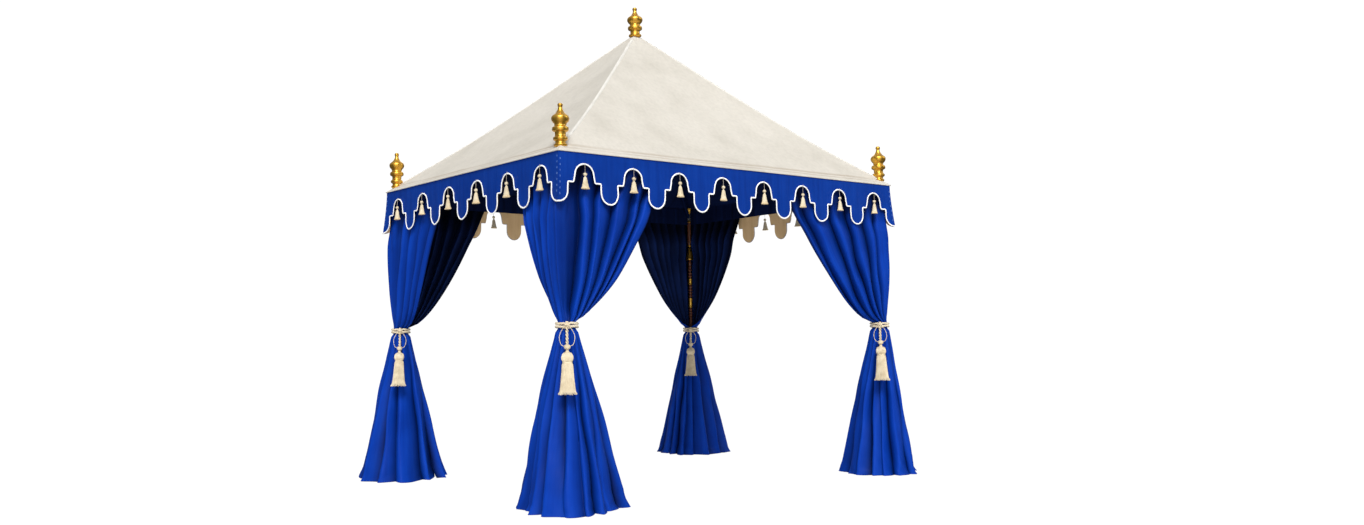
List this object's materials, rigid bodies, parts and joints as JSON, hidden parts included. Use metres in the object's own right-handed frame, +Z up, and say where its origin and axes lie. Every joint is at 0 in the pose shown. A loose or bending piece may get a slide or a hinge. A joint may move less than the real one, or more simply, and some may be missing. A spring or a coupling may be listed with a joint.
{
  "type": "draped frame pavilion tent",
  "caption": "Rectangular pavilion tent with a canvas pyramid roof, scalloped valances with tassels, tied-back corner curtains and turned gold finials.",
  "frame": {"origin": "on the floor, under the middle of the tent", "axes": "+Z up, +X along the long side, -Y towards the front"},
  "size_m": [4.0146, 3.1284, 3.9542],
  "materials": {
    "canvas": "matt cream canvas",
    "blue_cloth": "royal blue drape, soft sheen",
    "navy_lining": "matt navy lining",
    "cream_cord": "twisted cotton cord",
    "gold_finish": "gold, satin",
    "frame_wood": "dark stain",
    "frame_metal": "satin"
  },
  "bodies": {
    "root": {"roof_canopy": "canvas", "ceiling_lining": "navy_lining", "crown_hub": "frame_metal", "finial_apex": "gold_finish", "bracket_front_left": "frame_metal", "rafter_front_left": "frame_wood", "post_front_left": "frame_wood", "finial_front_left": "gold_finish", "curtain_front_left": "blue_cloth", "tie_rope_front_left": "cream_cord", "tie_tassel_front_left": "cream_cord", "bracket_front_right": "frame_metal", "rafter_front_right": "frame_wood", "post_front_right": "frame_wood", "finial_front_right": "gold_finish", "curtain_front_right": "blue_cloth", "tie_rope_front_right": "cream_cord", "tie_tassel_front_right": "cream_cord", "bracket_back_left": "frame_metal", "rafter_back_left": "frame_wood", "post_back_left": "frame_wood", "finial_back_left": "gold_finish", "curtain_back_left": "blue_cloth", "tie_rope_back_left": "cream_cord", "tie_tassel_back_left": "cream_cord", "bracket_back_right": "frame_metal", "rafter_back_right": "frame_wood", "post_back_right": "frame_wood", "finial_back_right": "gold_finish", "curtain_back_right": "blue_cloth", "tie_rope_back_right": "cream_cord", "tie_tassel_back_right": "cream_cord", "eave_rail_front": "frame_metal", "pelmet_front": "navy_lining", "valance_front": "blue_cloth", "eave_rail_right": "frame_metal", "pelmet_right": "navy_lining", "valance_right": "blue_cloth", "eave_rail_back": "frame_metal", "pelmet_back": "navy_lining", "valance_back": "blue_cloth", "eave_rail_left": "frame_metal", "pelmet_left": "navy_lining", "valance_left": "blue_cloth"}
  },
  "joints": []
}
